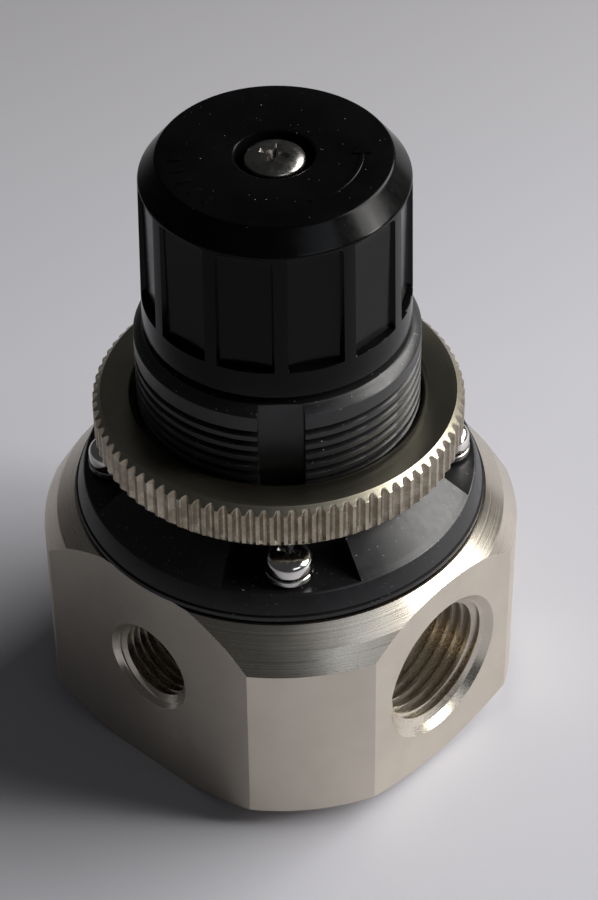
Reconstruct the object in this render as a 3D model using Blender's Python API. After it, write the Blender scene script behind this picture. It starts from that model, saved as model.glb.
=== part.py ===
"""Stainless air pressure regulator with a knurled panel nut and a push-to-lock knob.

Every size below is in millimetres and the meshes are made in metres. +Z runs up the
adjusting axis, the origin is at the centre of the flat underside, the main ports open
along X and the gauge ports along Y.
"""

import math

import bmesh
import bpy
from mathutils import Matrix, Vector

MM = 0.001
GAP = 0.3

# Body: a turned blank with four flats, so its corners stay round.
MAIN_FACE_X = 31.2
GAUGE_FACE_Y = 28.7
BODY_BASE_R = 29.5
BODY_CORNER_R = 34.6
BODY_CORNER_Z = 3.4
BODY_CORNER_TOP = 30.8
BODY_BAND_R = 32.6
BODY_BAND_TOP = 33.6
BODY_SHOULDER_R = 29.9
BODY_SHOULDER_Z = 36.4
SPIGOT_R = 27.9
BODY_TOP = 37.6
MAIN_PORT_Z = 18.7
MAIN_PORT_R = 9.315
MAIN_PORT_MOUTH_R = 11.6
MAIN_PORT_DEPTH = 13.0
GAUGE_PORT_Z = 19.9
GAUGE_PORT_R = 5.72
GAUGE_PORT_MOUTH_R = 7.3
GAUGE_PORT_DEPTH = 10.0
PLUG_BORE_R = 11.0
PLUG_BORE_TOP = 11.7
VALVE_CHAMBER_R = 9.0
SEAT_POCKET_R = 6.8
SEAT_POCKET_Z = 20.0
SEAT_POCKET_TOP = 22.4
OUTLET_CHAMBER_R = 13.5
DIAPHRAGM_CHAMBER_R = 17.5
DIAPHRAGM_CHAMBER_Z = 32.4
DIAPHRAGM_SEAT_R = 20.5
DIAPHRAGM_SEAT_Z = 36.1
SUPPLY_DUCT_R = 3.0
SUPPLY_DUCT_Z = 15.7
OUTLET_DUCT_R = 2.2
OUTLET_DUCT_Z = 24.7
GAUGE_DUCT_R = 1.2
GAUGE_DUCT_Z = 23.8

# Bonnet: flange, panel thread and the collar that the knob slides over.
FLANGE_Z = BODY_TOP + GAP
FLANGE_R = 29.6
SKIRT_R = SPIGOT_R + GAP
SKIRT_Z = BODY_SHOULDER_Z + GAP
FLANGE_RIM_R = 28.2
FLANGE_RIM_TOP = 40.75
NECK_R = 20.1
CONE_TOP_R = 21.8
CONE_TOP_Z = 45.15
NECK_THREAD_TOP = 63.7
NECK_TOP_R = 18.9
NECK_TOP = 66.9
LOCK_COLLAR_R = 14.6
LOCK_COLLAR_TOP = 77.4
LOCK_COLLAR_BORE_R = 9.0
SPRING_CHAMBER_R = 14.5
SPRING_CHAMBER_TOP = 64.3
JOURNAL_BORE_R = 4.8
JOURNAL_BORE_TOP = 69.4
PLATE_RECESS_R = 17.0
PLATE_RECESS_TOP = 41.4
NECK_GROOVE_WIDTH = 6.5
NECK_GROOVE_FLOOR_R = 18.6
NECK_GROOVE_ANGLE = -47.0
KEYWAY_WIDTH = 4.0
KEYWAY_R = 16.6
POCKET_FLOOR_Z = 40.7
POCKET_HALF_ANGLE = 20.5
POCKET_INNER_R = 20.3

# Four pan-head screws with split washers hold the bonnet to the body.
SCREW_CIRCLE_R = 24.1
FIRST_SCREW_ANGLE = -45.0
SCREW_HOLE_R = 2.3
SCREW_HOLE_Z = 27.4
SCREW_R = 2.0
SCREW_TIP_Z = 29.0
SCREW_HEAD_R = 3.35
SCREW_HEAD_HEIGHT = 2.6
WASHER_OUTER_R = 3.45
WASHER_THICKNESS = 1.0
WASHER_SPLIT_DEG = 16.0

# Panel nut.
NUT_Z = 47.25
NUT_TOP = 54.5
NUT_TIP_R = 26.4
NUT_TOOTH_DEPTH = 0.55
NUT_TEETH = 86
NUT_BORE_R = 20.4

# Knob, pushed down on its lock.
KNOB_Z = 68.05
KNOB_R = 18.8
KNOB_TOP_EDGE_R = 18.4
KNOB_CHAMFER_Z = 91.5
KNOB_FACE_R = 15.9
KNOB_TOP = 94.8
KNOB_RIM_TOP = 72.0
KNOB_FLUTES = 12
KNOB_FLUTE_WIDTH = 7.5
KNOB_FLUTE_FLOOR_R = 17.55
KNOB_FIRST_FLUTE = -46.3
KNOB_CAVITY_R = 15.5
KNOB_CAVITY_TOP = 87.9
KNOB_HUB_R = 6.8
KNOB_HUB_Z = 73.4
KNOB_RECESS_R = 5.4
KNOB_RECESS_Z = 89.4

# Adjusting screw, its nut and the range spring.
DRIVE_HEX = 6.4
DRIVE_TOP = 92.7
DRIVE_Z = 68.4
JOURNAL_R = 4.5
SCREW_FLANGE_R = 8.0
SCREW_FLANGE_Z = 60.9
SCREW_FLANGE_TOP = 62.9
ROD_R = 4.0
ROD_Z = 49.4
KNOB_SCREW_HOLE_R = 2.05
KNOB_SCREW_R = 1.7
KNOB_SCREW_HEAD_R = 4.2
KNOB_SCREW_HEAD_Z = 93.0
KNOB_SCREW_TOP = 95.0
KNOB_SCREW_TIP_Z = 82.4
BUTTON_R = 13.9
BUTTON_Z = 56.1
BUTTON_TOP = 60.6
BUTTON_KEY_WIDTH = 3.4
BUTTON_KEY_R = 16.2
RANGE_SPRING_R = 10.0
RANGE_SPRING_WIRE_R = 0.8
RANGE_SPRING_TURNS = 4.5
RANGE_SPRING_Z = 40.1
RANGE_SPRING_TOP = BUTTON_Z - GAP

# Diaphragm pack.
UPPER_PLATE_R = 13.5
UPPER_PLATE_Z = 37.8
UPPER_PLATE_TOP = 39.8
UPPER_PLATE_BOSS_TOP = 41.0
DIAPHRAGM_Z = 36.5
DIAPHRAGM_THICKNESS = 1.0
DIAPHRAGM_R = 20.2
RELIEF_HUB_R = 3.0
RELIEF_HUB_TOP = 40.6
RELIEF_PLATE_R = 12.0
RELIEF_PLATE_Z = 34.7
RELIEF_HOLE_R = 1.0

# Valve and bottom plug.
SEAT_BORE_R = 3.5
STEM_R = 1.5
STEM_TOP = 34.4
POPPET_R = 6.3
POPPET_Z = 16.9
POPPET_TOP = 18.9
GUIDE_STEM_R = 2.0
GUIDE_STEM_Z = 8.8
VALVE_SPRING_R = 5.2
VALVE_SPRING_WIRE_R = 0.35
VALVE_SPRING_TURNS = 4.0
PLUG_R = 10.7
PLUG_Z = 1.2
PLUG_TOP = 11.4
PLUG_HEX = 8.0
PLUG_HEX_DEPTH = 3.6
PLUG_RING_Z = 9.4
STEM_RING_Z = 10.5


def clear_scene():
    for obj in list(bpy.data.objects):
        bpy.data.objects.remove(obj, do_unlink=True)


def material(name, color, roughness, metallic):
    made = bpy.data.materials.new(name)
    made.use_nodes = True
    shader = made.node_tree.nodes["Principled BSDF"]
    shader.inputs["Base Color"].default_value = (*color, 1.0)
    shader.inputs["Roughness"].default_value = roughness
    shader.inputs["Metallic"].default_value = metallic
    return made


def add_object(name, bm, finish=None):
    """Turns a bmesh into an object. One with no finish is a cutter or a joined piece's helper."""
    bmesh.ops.recalc_face_normals(bm, faces=bm.faces)
    mesh = bpy.data.meshes.new(name)
    bm.to_mesh(mesh)
    bm.free()
    mesh.shade_smooth()
    mesh.set_sharp_from_angle(angle=math.radians(35))
    obj = bpy.data.objects.new(name, mesh)
    bpy.context.collection.objects.link(obj)
    if finish:
        mesh.materials.append(finish)
    else:
        obj.hide_render = True
        obj.display_type = "WIRE"
    return obj


def turned_mesh(profile, segments, sweep=360.0, rise=0.0):
    """Spins (radius, height) points about Z. A profile that starts off the axis is a closed section."""
    bm = bmesh.new()
    section = [bm.verts.new((radius * MM, 0, height * MM)) for radius, height in profile]
    edges = [bm.edges.new(pair) for pair in zip(section, section[1:])]
    if profile[0][0] > 0:
        edges.append(bm.edges.new((section[-1], section[0])))
    ring = sweep == 360.0
    if not ring:
        bm.faces.new(section)
    spun = bmesh.ops.spin(
        bm,
        geom=section + edges,
        cent=(0, 0, 0),
        axis=(0, 0, 1),
        dvec=(0, 0, rise * MM / segments),
        angle=math.radians(sweep),
        steps=segments,
        use_merge=ring,
    )
    if not ring:
        bm.faces.new([part for part in spun["geom_last"] if isinstance(part, bmesh.types.BMVert)])
    bmesh.ops.remove_doubles(bm, verts=bm.verts, dist=1e-6)
    return bm


def turned(name, profile, segments, finish=None):
    return add_object(name, turned_mesh(profile, segments), finish)


def prism_mesh(outline, low, high):
    """Extrudes (x, y) points from one height to another."""
    bm = bmesh.new()
    base = bm.faces.new([bm.verts.new((x * MM, y * MM, low * MM)) for x, y in outline])
    raised = bmesh.ops.extrude_face_region(bm, geom=[base])
    corners = [part for part in raised["geom"] if isinstance(part, bmesh.types.BMVert)]
    bmesh.ops.translate(bm, verts=corners, vec=(0, 0, (high - low) * MM))
    return bm


def hexagon(across_flats):
    radius = across_flats / math.sqrt(3)
    return [on_circle(radius, 60 * corner) for corner in range(6)]


def rectangle(low, high):
    return [(low[0], low[1]), (high[0], low[1]), (high[0], high[1]), (low[0], high[1])]


def sector(near, far, half_angle):
    """A four-sided outline about the X axis whose sides point at the origin."""
    slope = math.tan(math.radians(half_angle))
    return [(near, -near * slope), (far, -far * slope), (far, far * slope), (near, near * slope)]


def on_circle(radius, degrees):
    return radius * math.cos(math.radians(degrees)), radius * math.sin(math.radians(degrees))


def place(obj, x=0.0, y=0.0, z=0.0, turn=0.0):
    obj.location = Vector((x, y, z)) * MM
    obj.rotation_euler.z = math.radians(turn)
    return obj


def boolean(obj, other, operation="DIFFERENCE"):
    modifier = obj.modifiers.new(other.name, "BOOLEAN")
    modifier.operation = operation
    modifier.object = other


def side_drill(name, profile, segments, face_angle, height):
    """A turned cutter laid down so that its profile's heights run out along one face's normal."""
    cutter = turned(name, profile, segments)
    lay_down = Matrix.Rotation(math.radians(face_angle), 4, "Z") @ Matrix.Rotation(math.pi / 2, 4, "Y")
    cutter.matrix_world = Matrix.Translation((0, 0, height * MM)) @ lay_down
    return cutter


def port_profile(face, radius, mouth_radius, depth):
    past = 1.0
    chamfer = mouth_radius - radius
    return [
        (0, face - depth),
        (radius, face - depth),
        (radius, face - chamfer),
        (mouth_radius + past, face + past),
        (0, face + past),
    ]


def duct_profile(radius, inner, outer):
    return [(0, inner), (radius, inner), (radius, outer), (0, outer)]


def ring_profile(middle_radius, height, wire_radius, sides):
    """A round section for a torus."""
    points = []
    for side in range(sides):
        across, up = on_circle(wire_radius, 360 * side / sides)
        points.append((middle_radius + across, height + up))
    return points


def washer_profile(inner, outer, low, high):
    return [(inner, low), (outer, low), (outer, high), (inner, high)]


def screw_angles():
    return [FIRST_SCREW_ANGLE + 90 * step for step in range(4)]


def build_body(finish):
    blank = [
        (0, 0),
        (BODY_BASE_R, 0),
        (BODY_CORNER_R, BODY_CORNER_Z),
        (BODY_CORNER_R, BODY_CORNER_TOP),
        (BODY_BAND_R, BODY_BAND_TOP),
        (BODY_SHOULDER_R, BODY_SHOULDER_Z),
        (SPIGOT_R, BODY_SHOULDER_Z),
        (SPIGOT_R, BODY_TOP),
        (0, BODY_TOP),
    ]
    body = turned("body", blank, 64, finish)
    flats = rectangle((-MAIN_FACE_X, -GAUGE_FACE_Y), (MAIN_FACE_X, GAUGE_FACE_Y))
    boolean(body, add_object("keep_flats", prism_mesh(flats, -1, BODY_TOP + 1)), "INTERSECT")
    cavity = [
        (0, -1),
        (PLUG_BORE_R, -1),
        (PLUG_BORE_R, PLUG_BORE_TOP),
        (VALVE_CHAMBER_R, PLUG_BORE_TOP),
        (VALVE_CHAMBER_R, SEAT_POCKET_Z),
        (SEAT_POCKET_R, SEAT_POCKET_Z),
        (SEAT_POCKET_R, SEAT_POCKET_TOP),
        (OUTLET_CHAMBER_R, SEAT_POCKET_TOP),
        (OUTLET_CHAMBER_R, DIAPHRAGM_CHAMBER_Z),
        (DIAPHRAGM_CHAMBER_R, DIAPHRAGM_CHAMBER_Z),
        (DIAPHRAGM_CHAMBER_R, DIAPHRAGM_SEAT_Z),
        (DIAPHRAGM_SEAT_R, DIAPHRAGM_SEAT_Z),
        (DIAPHRAGM_SEAT_R, BODY_TOP + 1),
        (0, BODY_TOP + 1),
    ]
    boolean(body, turned("cut_cavity", cavity, 40))
    main_port = port_profile(MAIN_FACE_X, MAIN_PORT_R, MAIN_PORT_MOUTH_R, MAIN_PORT_DEPTH)
    gauge_port = port_profile(GAUGE_FACE_Y, GAUGE_PORT_R, GAUGE_PORT_MOUTH_R, GAUGE_PORT_DEPTH)
    for name, face_angle in (("supply", 0), ("outlet", 180)):
        boolean(body, side_drill("cut_" + name + "_port", main_port, 32, face_angle, MAIN_PORT_Z))
    for name, face_angle in (("front_gauge", -90), ("rear_gauge", 90)):
        boolean(body, side_drill("cut_" + name + "_port", gauge_port, 24, face_angle, GAUGE_PORT_Z))
    main_floor = MAIN_FACE_X - MAIN_PORT_DEPTH + 1
    gauge_floor = GAUGE_FACE_Y - GAUGE_PORT_DEPTH + 1
    supply_duct = duct_profile(SUPPLY_DUCT_R, VALVE_CHAMBER_R - 2, main_floor)
    outlet_duct = duct_profile(OUTLET_DUCT_R, OUTLET_CHAMBER_R - 2, main_floor)
    gauge_duct = duct_profile(GAUGE_DUCT_R, OUTLET_CHAMBER_R - 2, gauge_floor)
    boolean(body, side_drill("cut_supply_duct", supply_duct, 16, 0, SUPPLY_DUCT_Z))
    boolean(body, side_drill("cut_outlet_duct", outlet_duct, 12, 180, OUTLET_DUCT_Z))
    boolean(body, side_drill("cut_front_gauge_duct", gauge_duct, 8, -90, GAUGE_DUCT_Z))
    boolean(body, side_drill("cut_rear_gauge_duct", gauge_duct, 8, 90, GAUGE_DUCT_Z))
    hole = duct_profile(SCREW_HOLE_R, SCREW_HOLE_Z, FLANGE_RIM_TOP + 1)
    for number, angle in enumerate(screw_angles(), 1):
        drill = turned("cut_screw_hole_" + str(number), hole, 12)
        boolean(body, place(drill, *on_circle(SCREW_CIRCLE_R, angle)))


def build_bonnet(finish):
    outside = [
        (0, FLANGE_Z),
        (SKIRT_R, FLANGE_Z),
        (SKIRT_R, SKIRT_Z),
        (FLANGE_R, SKIRT_Z),
        (FLANGE_RIM_R, FLANGE_RIM_TOP),
        (CONE_TOP_R, CONE_TOP_Z),
        (NECK_R, CONE_TOP_Z),
        (NECK_R, NECK_THREAD_TOP),
        (NECK_TOP_R, NECK_THREAD_TOP + 0.6),
        (NECK_TOP_R, NECK_TOP),
        (LOCK_COLLAR_R, NECK_TOP),
        (LOCK_COLLAR_R, LOCK_COLLAR_TOP),
        (0, LOCK_COLLAR_TOP),
    ]
    bonnet = turned("bonnet", outside, 60, finish)
    inside = [
        (0, FLANGE_Z - 1),
        (PLATE_RECESS_R, FLANGE_Z - 1),
        (PLATE_RECESS_R, PLATE_RECESS_TOP),
        (SPRING_CHAMBER_R, PLATE_RECESS_TOP + 2),
        (SPRING_CHAMBER_R, SPRING_CHAMBER_TOP),
        (JOURNAL_BORE_R, SPRING_CHAMBER_TOP),
        (JOURNAL_BORE_R, JOURNAL_BORE_TOP),
        (LOCK_COLLAR_BORE_R, JOURNAL_BORE_TOP),
        (LOCK_COLLAR_BORE_R, LOCK_COLLAR_TOP + 1),
        (0, LOCK_COLLAR_TOP + 1),
    ]
    boolean(bonnet, turned("cut_spring_chamber", inside, 36))
    half_key = KEYWAY_WIDTH / 2
    keyway = prism_mesh(rectangle((-KEYWAY_R, -half_key), (KEYWAY_R, half_key)), FLANGE_Z - 1, BUTTON_TOP + 1)
    boolean(bonnet, place(add_object("cut_keyways", keyway), turn=NECK_GROOVE_ANGLE + 90))
    half_groove = NECK_GROOVE_WIDTH / 2
    groove = rectangle((NECK_GROOVE_FLOOR_R, -half_groove), (NECK_R + 1, half_groove))
    for name, turn in (("front", 0), ("rear", 180)):
        cutter = add_object("cut_" + name + "_groove", prism_mesh(groove, CONE_TOP_Z, NECK_THREAD_TOP + 0.3))
        boolean(bonnet, place(cutter, turn=NECK_GROOVE_ANGLE + turn))
    pocket = sector(POCKET_INNER_R, FLANGE_R + 1, POCKET_HALF_ANGLE)
    hole = duct_profile(SCREW_HOLE_R, FLANGE_Z - 1, POCKET_FLOOR_Z + 1)
    for number, angle in enumerate(screw_angles(), 1):
        cutter = add_object("cut_pocket_" + str(number), prism_mesh(pocket, POCKET_FLOOR_Z, CONE_TOP_Z + 1))
        boolean(bonnet, place(cutter, turn=angle))
        drill = turned("cut_flange_hole_" + str(number), hole, 12)
        boolean(bonnet, place(drill, *on_circle(SCREW_CIRCLE_R, angle)))


def pan_head_profile(head_z, head_top, head_r, shank_r, tip_z):
    height = head_top - head_z
    return [
        (0, head_top),
        (head_r * 0.65, head_top - height * 0.05),
        (head_r * 0.91, head_top - height * 0.28),
        (head_r, head_top - height * 0.55),
        (head_r, head_z),
        (shank_r, head_z),
        (shank_r, tip_z + 0.5),
        (shank_r - 0.5, tip_z),
        (0, tip_z),
    ]


def cross_recess(name, reach, width, head_top, depth):
    """A cross-shaped cutter that narrows towards its floor."""
    half = width / 2
    arm = [(reach, -half), (reach, half), (half, half)]
    outline = []
    for quarter in range(4):
        turn = Matrix.Rotation(math.pi / 2 * quarter, 2)
        outline += [turn @ Vector(point) for point in arm]
    bm = prism_mesh(outline, head_top - depth, head_top + 1)
    floor = [vert for vert in bm.verts if vert.co.z < head_top * MM]
    bmesh.ops.scale(bm, verts=floor, vec=(0.5, 0.5, 1))
    return add_object(name, bm)


def build_bonnet_screws(screw_finish, washer_finish):
    washer_z = POCKET_FLOOR_Z + GAP
    washer_top = washer_z + WASHER_THICKNESS
    rise = 0.25
    head_z = washer_top + rise + GAP
    head_top = head_z + SCREW_HEAD_HEIGHT
    screw = pan_head_profile(head_z, head_top, SCREW_HEAD_R, SCREW_R, SCREW_TIP_Z)
    washer = washer_profile(SCREW_HOLE_R, WASHER_OUTER_R, washer_z, washer_top)
    for number, angle in enumerate(screw_angles(), 1):
        x, y = on_circle(SCREW_CIRCLE_R, angle)
        turn = 70 * number
        obj = turned("bonnet_screw_" + str(number), screw, 16, screw_finish)
        place(obj, x, y, turn=turn)
        recess = cross_recess("cut_bonnet_recess_" + str(number), 1.8, 0.8, head_top, 1.5)
        boolean(obj, place(recess, x, y, turn=turn))
        split = turned_mesh(washer, 18, 360 - WASHER_SPLIT_DEG, rise)
        place(add_object("lock_washer_" + str(number), split, washer_finish), x, y, turn=angle + turn)


def build_panel_nut(finish):
    root = NUT_TIP_R - NUT_TOOTH_DEPTH
    outline = []
    for half_tooth in range(2 * NUT_TEETH):
        radius = root if half_tooth % 2 else NUT_TIP_R
        outline.append(on_circle(radius, 180 * half_tooth / NUT_TEETH))
    nut = add_object("panel_nut", prism_mesh(outline, NUT_Z, NUT_TOP), finish)
    boolean(nut, turned("cut_nut_bore", duct_profile(NUT_BORE_R, NUT_Z - 1, NUT_TOP + 1), 60))


def build_knob(finish):
    section = [
        (KNOB_CAVITY_R, KNOB_Z),
        (KNOB_R - 0.3, KNOB_Z),
        (KNOB_R, KNOB_Z + 0.3),
        (KNOB_R, KNOB_RIM_TOP),
        (KNOB_TOP_EDGE_R, KNOB_CHAMFER_Z),
        (KNOB_FACE_R, KNOB_TOP),
        (KNOB_RECESS_R, KNOB_TOP),
        (KNOB_RECESS_R, KNOB_RECESS_Z),
        (DRIVE_HEX / 2 - 0.5, KNOB_RECESS_Z),
        (DRIVE_HEX / 2 - 0.5, KNOB_HUB_Z),
        (KNOB_HUB_R, KNOB_HUB_Z),
        (KNOB_HUB_R, KNOB_CAVITY_TOP),
        (KNOB_CAVITY_R, KNOB_CAVITY_TOP),
    ]
    knob = turned("knob", section, 48, finish)
    socket = prism_mesh(hexagon(DRIVE_HEX + 2 * GAP), KNOB_HUB_Z - 1, KNOB_RECESS_Z + 1)
    boolean(knob, add_object("cut_knob_hex", socket))
    half = KNOB_FLUTE_WIDTH / 2
    flute = rectangle((KNOB_FLUTE_FLOOR_R, -half), (KNOB_R + 1, half))
    for number in range(KNOB_FLUTES):
        cutter = add_object("cut_flute_" + str(number + 1), prism_mesh(flute, KNOB_RIM_TOP + 0.4, KNOB_TOP + 1))
        boolean(knob, place(cutter, turn=KNOB_FIRST_FLUTE + 360 / KNOB_FLUTES * (number + 0.5)))


def build_knob_screw(finish):
    profile = pan_head_profile(
        KNOB_SCREW_HEAD_Z, KNOB_SCREW_TOP, KNOB_SCREW_HEAD_R, KNOB_SCREW_R, KNOB_SCREW_TIP_Z
    )
    screw = turned("knob_screw", profile, 20, finish)
    boolean(screw, cross_recess("cut_knob_screw_recess", 2.3, 1.0, KNOB_SCREW_TOP, 1.4))


def build_adjusting_screw(screw_finish, washer_finish):
    shaft = [
        (0, ROD_Z),
        (ROD_R - 0.6, ROD_Z),
        (ROD_R, ROD_Z + 0.6),
        (ROD_R, SCREW_FLANGE_Z),
        (SCREW_FLANGE_R, SCREW_FLANGE_Z),
        (SCREW_FLANGE_R, SCREW_FLANGE_TOP),
        (JOURNAL_R, SCREW_FLANGE_TOP),
        (JOURNAL_R, DRIVE_Z + 1),
        (0, DRIVE_Z + 1),
    ]
    screw = turned("adjusting_screw", shaft, 24, screw_finish)
    drive = add_object("join_drive_hex", prism_mesh(hexagon(DRIVE_HEX), DRIVE_Z, DRIVE_TOP))
    boolean(screw, drive, "UNION")
    hole = duct_profile(KNOB_SCREW_HOLE_R, KNOB_SCREW_TIP_Z - 1, DRIVE_TOP + 1)
    boolean(screw, turned("cut_knob_screw_hole", hole, 12))
    washer = washer_profile(
        JOURNAL_BORE_R, SCREW_FLANGE_R + 0.5, SCREW_FLANGE_TOP + GAP, SPRING_CHAMBER_TOP - GAP
    )
    turned("thrust_washer", washer, 24, washer_finish)


def build_spring_button(finish):
    """The nut that rides on the adjusting screw. Two keys in the bonnet stop it from turning."""
    disc = [
        (0, BUTTON_Z),
        (BUTTON_R, BUTTON_Z),
        (BUTTON_R, BUTTON_TOP - 1),
        (BUTTON_R - 1, BUTTON_TOP),
        (0, BUTTON_TOP),
    ]
    button = turned("spring_button", disc, 32, finish)
    half = BUTTON_KEY_WIDTH / 2
    bar = prism_mesh(rectangle((-BUTTON_KEY_R, -half), (BUTTON_KEY_R, half)), BUTTON_Z + 0.5, BUTTON_TOP - 1.5)
    keys = place(add_object("join_button_keys", bar), turn=NECK_GROOVE_ANGLE + 90)
    boolean(button, keys, "UNION")
    bore = duct_profile(ROD_R + GAP, BUTTON_Z - 1, BUTTON_TOP + 1)
    boolean(button, turned("cut_button_thread", bore, 24))


def build_spring(name, finish, radius, wire_radius, turns, low, high, steps_per_turn):
    """A coil whose wire just touches the low and high planes."""
    curve = bpy.data.curves.new(name, "CURVE")
    curve.dimensions = "3D"
    curve.bevel_depth = wire_radius * MM
    curve.bevel_resolution = 2
    curve.use_fill_caps = True
    spline = curve.splines.new("POLY")
    steps = round(turns * steps_per_turn)
    spline.points.add(steps)
    climb = high - low - 2 * wire_radius
    for step, point in enumerate(spline.points):
        x, y = on_circle(radius, 360 * turns * step / steps)
        height = low + wire_radius + climb * step / steps
        point.co = (x * MM, y * MM, height * MM, 1)
    curve.materials.append(finish)
    obj = bpy.data.objects.new(name, curve)
    bpy.context.collection.objects.link(obj)


def build_diaphragm_pack(plate_finish, rubber):
    hub_hole = RELIEF_HUB_R + GAP
    upper = [
        (hub_hole, UPPER_PLATE_Z),
        (UPPER_PLATE_R, UPPER_PLATE_Z),
        (UPPER_PLATE_R, UPPER_PLATE_TOP),
        (RANGE_SPRING_R * 0.7, UPPER_PLATE_TOP),
        (RANGE_SPRING_R * 0.65, UPPER_PLATE_BOSS_TOP),
        (hub_hole, UPPER_PLATE_BOSS_TOP),
    ]
    turned("upper_diaphragm_plate", upper, 32, plate_finish)
    top = DIAPHRAGM_Z + DIAPHRAGM_THICKNESS
    fold_inner_r = RELIEF_PLATE_R + 0.6
    fold_outer_r = DIAPHRAGM_CHAMBER_R - 0.6
    fold_r = (fold_inner_r + fold_outer_r) / 2
    fold_depth = 1.2
    sheet = [
        (hub_hole, DIAPHRAGM_Z),
        (fold_inner_r, DIAPHRAGM_Z),
        (fold_r, DIAPHRAGM_Z - fold_depth),
        (fold_outer_r, DIAPHRAGM_Z),
        (DIAPHRAGM_R, DIAPHRAGM_Z),
        (DIAPHRAGM_R, top),
        (fold_outer_r, top),
        (fold_r, top - fold_depth),
        (fold_inner_r, top),
        (hub_hole, top),
    ]
    turned("diaphragm", sheet, 40, rubber)
    plate_top = DIAPHRAGM_Z - GAP
    relief = [
        (RELIEF_HOLE_R, RELIEF_PLATE_Z),
        (RELIEF_PLATE_R, RELIEF_PLATE_Z),
        (RELIEF_PLATE_R, plate_top),
        (RELIEF_HUB_R, plate_top),
        (RELIEF_HUB_R, RELIEF_HUB_TOP),
        (RELIEF_HOLE_R, RELIEF_HUB_TOP),
    ]
    turned("relief_seat_plate", relief, 24, plate_finish)


def build_valve(brass, rubber):
    seat = washer_profile(SEAT_BORE_R, SEAT_POCKET_R - GAP, SEAT_POCKET_Z + GAP, SEAT_POCKET_TOP - GAP)
    turned("valve_seat", seat, 24, brass)
    poppet = [
        (0, STEM_TOP),
        (RELIEF_HOLE_R - 0.2, STEM_TOP),
        (STEM_R, STEM_TOP - 1),
        (STEM_R, POPPET_TOP),
        (POPPET_R, POPPET_TOP),
        (POPPET_R, POPPET_Z),
        (GUIDE_STEM_R, POPPET_Z),
        (GUIDE_STEM_R, GUIDE_STEM_Z),
        (0, GUIDE_STEM_Z),
    ]
    turned("valve_poppet", poppet, 20, brass)
    seal = washer_profile(STEM_R + GAP, POPPET_R - 0.4, POPPET_TOP + GAP, SEAT_POCKET_Z - 0.1)
    turned("poppet_seal", seal, 20, rubber)


def build_bottom_plug(finish, rubber):
    ring_wire_r = 0.75
    ring_r = PLUG_R - ring_wire_r - 0.05
    groove_r = ring_r - ring_wire_r - 0.35
    half_groove = ring_wire_r + 0.35
    guide_r = GUIDE_STEM_R + GAP
    stem_ring_wire_r = 0.6
    stem_ring_r = guide_r + stem_ring_wire_r + 0.1
    stem_pocket_r = stem_ring_r + stem_ring_wire_r + 0.4
    section = [
        (0, PLUG_Z),
        (PLUG_R - 0.6, PLUG_Z),
        (PLUG_R, PLUG_Z + 0.6),
        (PLUG_R, PLUG_RING_Z - half_groove),
        (groove_r, PLUG_RING_Z - half_groove),
        (groove_r, PLUG_RING_Z + half_groove),
        (PLUG_R, PLUG_RING_Z + half_groove),
        (PLUG_R, PLUG_TOP),
        (stem_pocket_r, PLUG_TOP),
        (stem_pocket_r, STEM_RING_Z - stem_ring_wire_r - GAP),
        (guide_r, STEM_RING_Z - stem_ring_wire_r - GAP),
        (guide_r, GUIDE_STEM_Z - 1.2),
        (0, GUIDE_STEM_Z - 1.2),
    ]
    plug = turned("bottom_plug", section, 32, finish)
    socket = prism_mesh(hexagon(PLUG_HEX), PLUG_Z - 1, PLUG_Z + PLUG_HEX_DEPTH)
    boolean(plug, add_object("cut_plug_hex", socket))
    turned("plug_o_ring", ring_profile(ring_r, PLUG_RING_Z, ring_wire_r, 8), 28, rubber)
    turned("stem_o_ring", ring_profile(stem_ring_r, STEM_RING_Z, stem_ring_wire_r, 6), 16, rubber)


def main():
    clear_scene()
    stainless = material("stainless_steel", (0.56, 0.53, 0.48), 0.38, 1.0)
    nut_steel = material("nut_steel", (0.58, 0.54, 0.47), 0.3, 1.0)
    bright_steel = material("bright_screw_steel", (0.75, 0.74, 0.72), 0.16, 1.0)
    washer_steel = material("washer_steel", (0.6, 0.58, 0.55), 0.3, 1.0)
    spring_steel = material("spring_steel", (0.42, 0.42, 0.43), 0.35, 1.0)
    knob_plastic = material("knob_black_plastic", (0.012, 0.012, 0.013), 0.22, 0.0)
    bonnet_plastic = material("bonnet_black_plastic", (0.02, 0.02, 0.021), 0.42, 0.0)
    washer_plastic = material("thrust_washer_plastic", (0.72, 0.7, 0.64), 0.5, 0.0)
    rubber = material("seal_rubber", (0.018, 0.018, 0.02), 0.7, 0.0)
    brass = material("valve_brass", (0.72, 0.52, 0.25), 0.3, 1.0)
    plate = material("plate_aluminium", (0.75, 0.76, 0.78), 0.35, 1.0)
    build_body(stainless)
    build_bonnet(bonnet_plastic)
    build_bonnet_screws(bright_steel, washer_steel)
    build_panel_nut(nut_steel)
    build_knob(knob_plastic)
    build_knob_screw(bright_steel)
    build_adjusting_screw(spring_steel, washer_plastic)
    build_spring_button(brass)
    build_spring(
        "range_spring",
        spring_steel,
        RANGE_SPRING_R,
        RANGE_SPRING_WIRE_R,
        RANGE_SPRING_TURNS,
        RANGE_SPRING_Z,
        RANGE_SPRING_TOP,
        16,
    )
    build_diaphragm_pack(plate, rubber)
    build_valve(brass, rubber)
    build_spring(
        "valve_spring",
        spring_steel,
        VALVE_SPRING_R,
        VALVE_SPRING_WIRE_R,
        VALVE_SPRING_TURNS,
        PLUG_TOP + GAP,
        POPPET_Z - GAP,
        12,
    )
    build_bottom_plug(stainless, rubber)


main()
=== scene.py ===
"""Looks for the air pressure regulator: finer meshes, materials, light and camera.

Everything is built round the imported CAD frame.
Sizes are in millimetres unless a name says otherwise, and meshes are made in metres.
"""

import math

import bmesh
import bpy
import numpy as np
from mathutils import Matrix, Vector


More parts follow.
